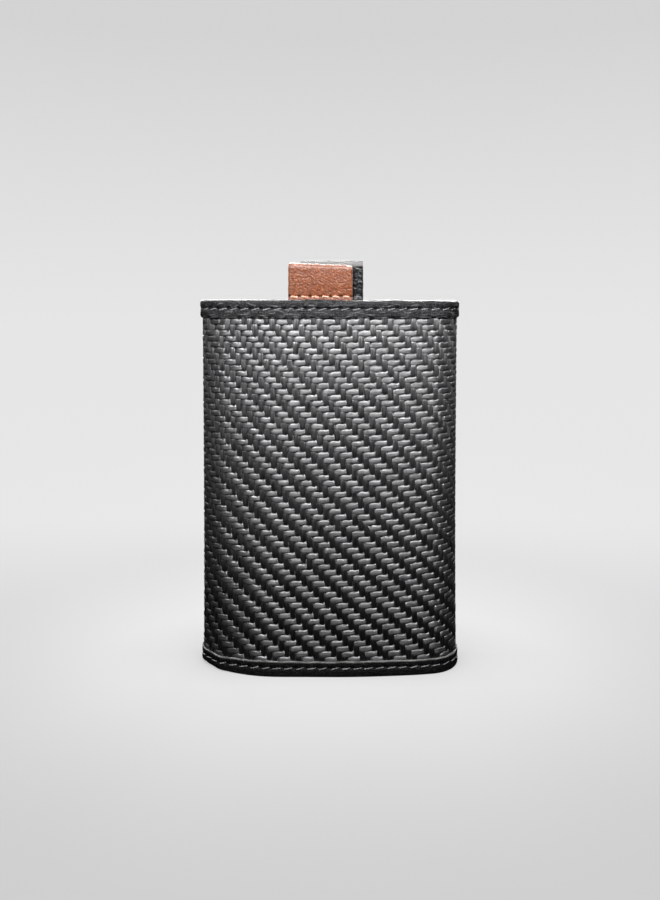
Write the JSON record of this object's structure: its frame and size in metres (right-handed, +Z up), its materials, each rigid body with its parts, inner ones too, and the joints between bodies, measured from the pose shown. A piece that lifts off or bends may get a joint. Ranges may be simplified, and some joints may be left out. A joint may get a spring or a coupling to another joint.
{
  "type": "minimalist wallet",
  "caption": "Oval upright card sleeve with a woven shell, leather bindings, a divider and pull tabs on ribbons that lift the cards.",
  "frame": {"origin": "middle of the resting face under the foot, with the sleeve upright", "axes": "+Z up out of the mouth, X along the width, front with the tan tab at -Y"},
  "size_m": [0.0702, 0.0252, 0.108],
  "materials": {
    "woven_shell": "2/2 twill of flat semi-gloss yarns",
    "board": "matt",
    "foil": "bright foil",
    "lining_fabric": "fine plain weave",
    "band_leather": "grained satin",
    "base_leather": "grained satin",
    "tan_leather": "grained satin",
    "black_leather": "grained satin",
    "tape_fabric": "ribbed tape",
    "ribbon": "ribbed webbing",
    "band_thread": "twisted thread",
    "tan_thread": "twisted thread",
    "dark_thread": "twisted thread"
  },
  "bodies": {
    "sleeve": {"outer_shell": "woven_shell", "stiffener_board": "board", "rfid_foil": "foil", "lining": "lining_fabric", "top_binding": "band_leather", "top_binding_thread": "band_thread", "bottom_binding": "band_leather", "bottom_binding_thread": "band_thread", "base_panel": "base_leather", "seam_strip": "band_leather", "seam_strip_thread": "band_thread", "divider_panel": "lining_fabric", "divider_hem": "tape_fabric", "divider_hem_thread": "dark_thread", "divider_tape_left": "tape_fabric", "divider_tape_right": "tape_fabric", "front_anchor_patch": "base_leather", "front_anchor_thread": "dark_thread", "front_ribbon_fixed_run": "ribbon", "rear_anchor_patch": "base_leather", "rear_anchor_thread": "dark_thread", "rear_ribbon_fixed_run": "ribbon"},
    "front_loop": {"front_ribbon_loop": "ribbon"},
    "front_tab": {"front_tab_leather": "tan_leather", "front_tab_thread": "tan_thread", "front_ribbon_pull_run": "ribbon"},
    "rear_loop": {"rear_ribbon_loop": "ribbon"},
    "rear_tab": {"rear_tab_leather": "black_leather", "rear_tab_thread": "dark_thread", "rear_ribbon_pull_run": "ribbon"}
  },
  "joints": [
    {"name": "front_loop_lift", "type": "slide", "parent": "sleeve", "child": "front_loop", "axis": [0, 0, 1], "range_m": [0, 0.025], "deforming": ["front_ribbon_fixed_run"]},
    {"name": "front_tab_pull", "type": "slide", "parent": "front_loop", "child": "front_tab", "axis": [0, 0, 1], "range_m": [0, 0.025], "deforming": ["front_ribbon_pull_run"]},
    {"name": "rear_loop_lift", "type": "slide", "parent": "sleeve", "child": "rear_loop", "axis": [0, 0, 1], "range_m": [0, 0.025], "deforming": ["rear_ribbon_fixed_run"]},
    {"name": "rear_tab_pull", "type": "slide", "parent": "rear_loop", "child": "rear_tab", "axis": [0, 0, 1], "range_m": [0, 0.025], "deforming": ["rear_ribbon_pull_run"]}
  ],
  "couplings": [
    {"joint": "front_tab_pull", "follows": "front_loop_lift", "ratio": 1},
    {"joint": "rear_tab_pull", "follows": "rear_loop_lift", "ratio": 1}
  ]
}
